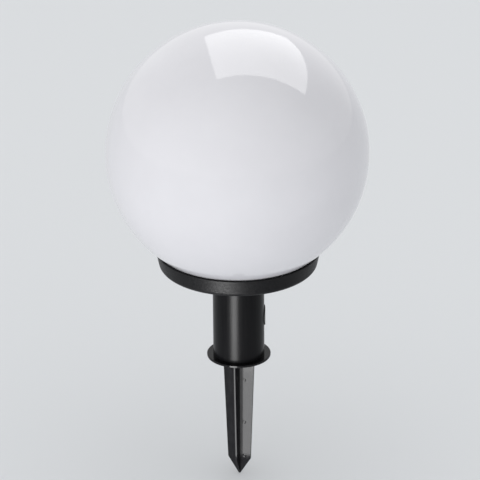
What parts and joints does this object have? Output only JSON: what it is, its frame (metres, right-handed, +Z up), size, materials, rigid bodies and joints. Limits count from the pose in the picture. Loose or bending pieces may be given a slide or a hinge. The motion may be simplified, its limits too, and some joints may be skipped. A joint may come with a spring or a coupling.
{
  "type": "garden globe light",
  "caption": "Opal globe garden light on a short round pole with a ground spike: twist-lock globe, screw-cap bulb and lampholder, wiring parts and a spigot that the pole lifts off.",
  "frame": {"origin": "middle of the underside of the ground flange, at soil level", "axes": "+Z up along the lamp's axis; -Y is the side the picture looks at from the front; +X is the side with the cable grommet"},
  "size_m": [0.3, 0.2998, 0.5637],
  "materials": {
    "spike_plastic": "glossy black moulded polypropylene",
    "pole_plastic": "satin black extruded tube",
    "rubber": "soft black rubber",
    "collar_plastic": "matt black moulded polypropylene with a fine grain",
    "steel": "zinc-plated steel",
    "silicone": "pale grey silicone",
    "opal": "glossy opal white moulded acrylic",
    "black_plate": "matt black moulded plastic",
    "holder_plastic": "black thermoset plastic",
    "ceramic": "white unglazed ceramic",
    "brass": "pressed brass",
    "terminal_plastic": "milky white polyamide",
    "lead_brown": "brown insulation",
    "lead_blue": "blue insulation",
    "solder": "dull tinned contact",
    "black_glass": "glossy black vitrite",
    "nickel": "nickel-plated pressed shell",
    "bulb_white": "white moulded plastic",
    "bulb_diffuser": "satin white polycarbonate"
  },
  "bodies": {
    "spike": {"ground_spike": "spike_plastic"},
    "lamp": {"pole_tube": "pole_plastic", "cable_grommet": "rubber", "base_collar": "collar_plastic", "pole_hub": "collar_plastic", "pole_hub_screws": "steel", "pole_screws": "steel", "globe_gasket": "silicone", "holder_plate": "black_plate", "holder_plate_screws": "steel", "lampholder_body": "holder_plastic", "lampholder_core": "ceramic", "lampholder_screws": "steel", "lampholder_sleeve": "brass", "lampholder_contact": "brass", "terminal_block": "terminal_plastic", "terminal_block_screw": "steel", "terminal_screws": "steel", "lead_live": "lead_brown", "lead_neutral": "lead_blue", "cord_clamp": "holder_plastic", "cord_clamp_screws": "steel"},
    "globe": {"globe_diffuser": "opal"},
    "bulb_foot": {"bulb_tip_contact": "solder"},
    "bulb": {"bulb_insulator": "black_glass", "bulb_screw_cap": "nickel", "bulb_housing": "bulb_white", "bulb_dome": "bulb_diffuser"}
  },
  "joints": [
    {"name": "lamp_lift_off", "type": "slide", "parent": "spike", "child": "lamp", "axis": [0, 0, 1], "range_m": [0, 0.06]},
    {"name": "globe_twist", "type": "hinge", "parent": "lamp", "child": "globe", "pos_m": [0, 0, 0.124], "axis": [0, 0, 1], "range_deg": [0, 30]},
    {"name": "bulb_lift", "type": "slide", "parent": "lamp", "child": "bulb_foot", "axis": [0, 0, 1], "range_m": [0, 0.0147]},
    {"name": "bulb_unscrew", "type": "hinge", "parent": "bulb_foot", "child": "bulb", "pos_m": [0, 0, 0.1546], "axis": [0, 0, 1], "range_deg": [0, 1440]}
  ],
  "couplings": [
    {"joint": "bulb_lift", "follows": "bulb_unscrew", "m_per_rad": 0.00057757}
  ]
}
